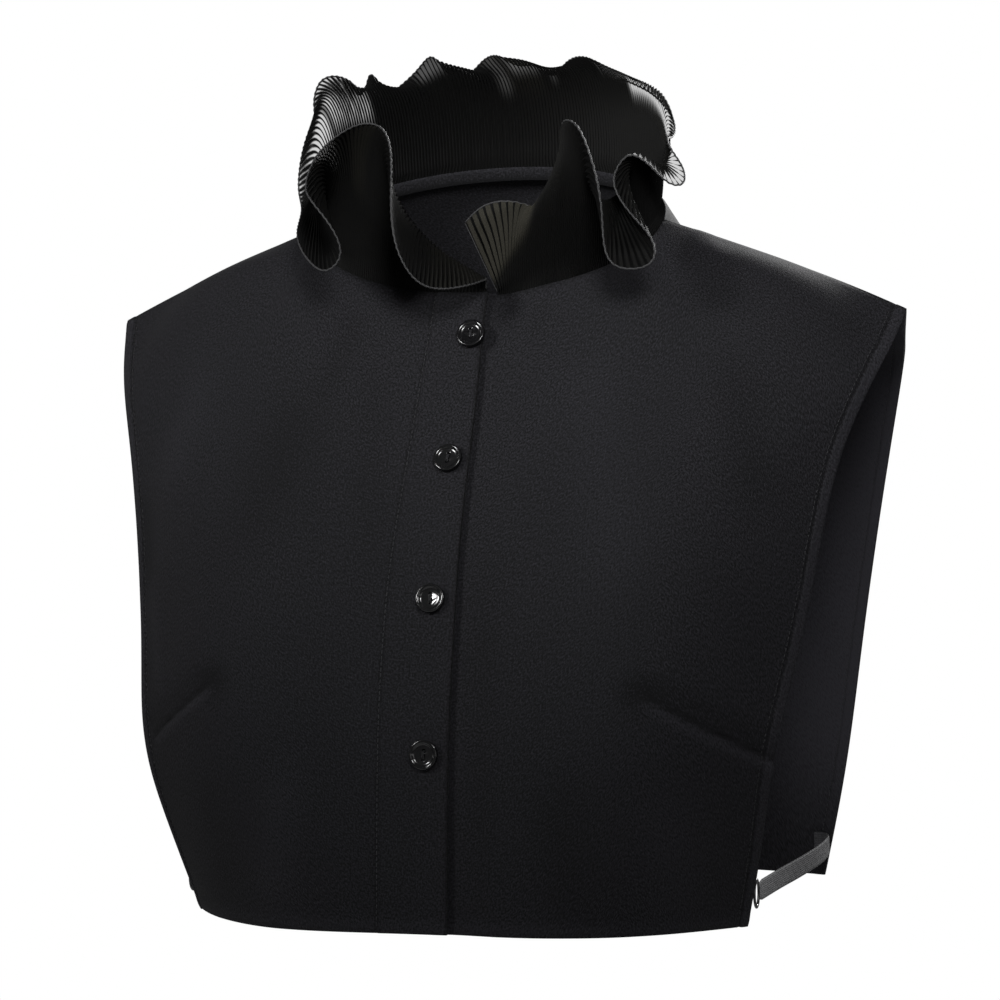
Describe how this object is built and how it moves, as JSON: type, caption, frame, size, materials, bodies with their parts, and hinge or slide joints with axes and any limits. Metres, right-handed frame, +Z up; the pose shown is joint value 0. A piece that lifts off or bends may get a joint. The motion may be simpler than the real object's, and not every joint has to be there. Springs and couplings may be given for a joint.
{
  "type": "ruffled stand collar on a sleeveless half bodice",
  "caption": "Black detachable collar: a tall stand-up ruffle of fine pleats on a buttoned, sleeveless half bodice with open sides and elastic straps.",
  "frame": {"origin": "midway between the two points where the shoulder seams meet the neck seam, where the wearer's neck and shoulders hold the collar", "axes": "+Z up along the wearer's neck, -Y out of the buttoned front, +X towards the wearer's left"},
  "size_m": [0.3659, 0.2224, 0.3856],
  "materials": {
    "crepe": "matt woven crepe, near black",
    "organza": "fine pleated sheer organza, black",
    "bias_band": "matt bias binding, black",
    "button": "polished black",
    "elastic": "woven elastic, charcoal",
    "wire": "black coated wire, satin"
  },
  "bodies": {
    "root": {"right_front": "crepe", "left_front": "crepe", "back": "crepe", "neckband": "bias_band", "ruffle": "organza", "button_1": "button", "button_2": "button", "button_3": "button", "button_4": "button", "strap_left": "elastic", "strap_right": "elastic", "ring_left": "wire", "ring_right": "wire"}
  },
  "joints": []
}
